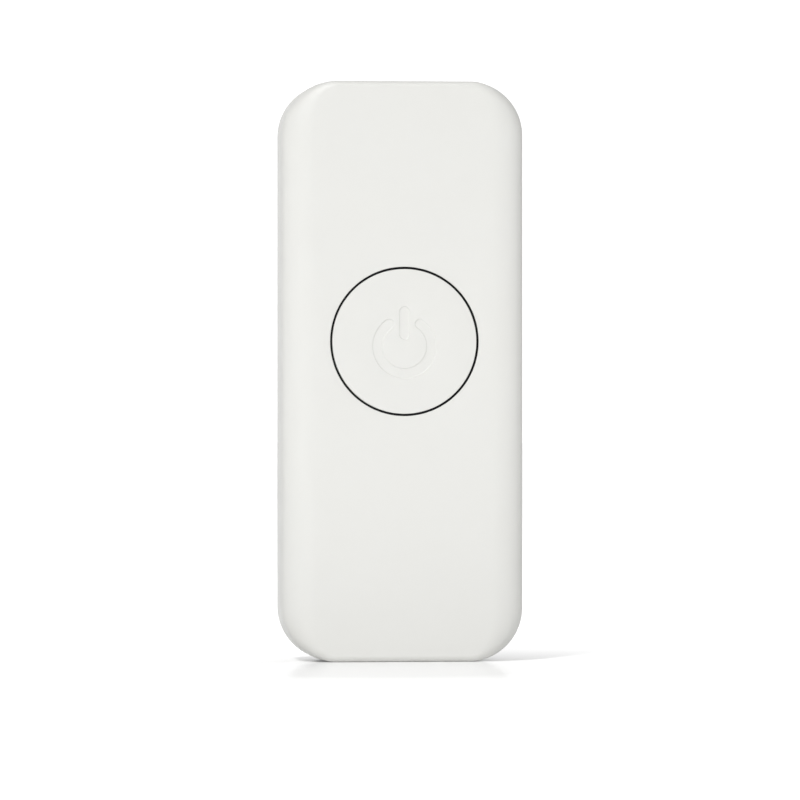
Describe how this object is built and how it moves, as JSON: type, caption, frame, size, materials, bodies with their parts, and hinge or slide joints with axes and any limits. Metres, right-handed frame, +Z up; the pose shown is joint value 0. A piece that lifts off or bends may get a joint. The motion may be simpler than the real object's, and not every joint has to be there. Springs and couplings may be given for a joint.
{
  "type": "wall battery unit",
  "caption": "Tall white wall battery with rounded corners, rolled front edges and a large round press disc, hung on a wall bracket.",
  "frame": {"origin": "on the wall plane, at the centre of the wall bracket's four-bolt rectangle, which is also the centre of the unit's outline seen from the front", "axes": "+Z up, +Y into the wall, so the front face looks along -Y, and +X to the right seen from the room"},
  "size_m": [0.5, 0.18, 1.2],
  "materials": {
    "cover_white": "satin",
    "disc_white": "satin",
    "housing_white": "satin powder coat",
    "black_rubber": "matte",
    "black_plastic": "matte",
    "grey_plastic": "matte",
    "white_nylon": "matte",
    "zinc_steel": "zinc plated",
    "spring_steel": "satin",
    "brass": "satin",
    "smoked_diffuser": "gloss",
    "circuit_green": "satin",
    "led_package": "gloss",
    "cell_blue": "satin film",
    "bare_aluminium": "satin",
    "copper": "satin",
    "mica_sheet": "matte",
    "foam_mat": "matte",
    "fuse_ceramic": "matte",
    "component_black": "satin",
    "lead_red": "satin",
    "lead_black": "satin",
    "terminal_grey": "matte",
    "knob_grey": "satin",
    "bracket_coat": "matte powder coat"
  },
  "bodies": {
    "unit": {"board_components": "component_black", "board_spacers": "brass", "cable_glands": "black_plastic", "capacitors": "component_black", "cell_links": "copper", "cell_poles": "bare_aluminium", "cell_spacers": "mica_sheet", "cells_left": "cell_blue", "cells_right": "cell_blue", "circuit_boards": "circuit_green", "contactor": "component_black", "cover_inserts": "brass", "cover_screws": "zinc_steel", "current_shunt": "brass", "din_rail": "zinc_steel", "disc_springs": "spring_steel", "disc_well": "black_plastic", "earth_stud": "brass", "electronics_tray": "bare_aluminium", "end_plates": "bare_aluminium", "front_cover": "cover_white", "fuse_base": "black_plastic", "gland_caps": "black_plastic", "gland_locknuts": "black_plastic", "gland_seals": "black_rubber", "guide_pins": "zinc_steel", "hanger_rivets": "zinc_steel", "hangers": "bracket_coat", "heat_sink": "bare_aluminium", "housing_gasket": "black_rubber", "inner_screws": "zinc_steel", "insulation_mat": "foam_mat", "isolator_body": "grey_plastic", "isolator_dial": "grey_plastic", "isolator_seal": "black_rubber", "led_board": "circuit_green", "light_ring": "smoked_diffuser", "main_fuse": "fuse_ceramic", "main_straps": "copper", "module_cover": "grey_plastic", "module_screws": "zinc_steel", "negative_leads": "lead_black", "positive_leads": "lead_red", "power_plate": "bare_aluminium", "pressure_vent": "black_plastic", "rear_housing": "housing_white", "sense_board": "circuit_green", "status_leds": "led_package", "terminal_blocks": "terminal_grey", "tie_straps": "zinc_steel", "tray_posts": "zinc_steel", "wake_switch": "black_plastic", "wall_bracket": "bracket_coat", "wall_bumpers": "black_rubber", "well_screws": "zinc_steel"},
    "disc": {"press_disc": "disc_white", "disc_carrier": "black_plastic", "disc_screws": "zinc_steel"},
    "plunger": {"switch_plunger": "white_nylon"},
    "knob": {"isolator_knob": "knob_grey"}
  },
  "joints": [
    {"name": "disc_press", "type": "slide", "parent": "unit", "child": "disc", "axis": [0, 1, 0], "range_m": [0, 0.003], "stiffness_N_per_m": 3000, "springref_m": -0.003, "deforming": ["disc_springs"]},
    {"name": "plunger_press", "type": "slide", "parent": "unit", "child": "plunger", "axis": [0, 1, 0], "range_m": [0, 0.003]},
    {"name": "isolator_turn", "type": "hinge", "parent": "unit", "child": "knob", "pos_m": [0.228, -0.062, 0.42], "axis": [1, 0, 0], "range_deg": [0, 90]}
  ],
  "couplings": [
    {"joint": "plunger_press", "follows": "disc_press", "ratio": 1}
  ]
}
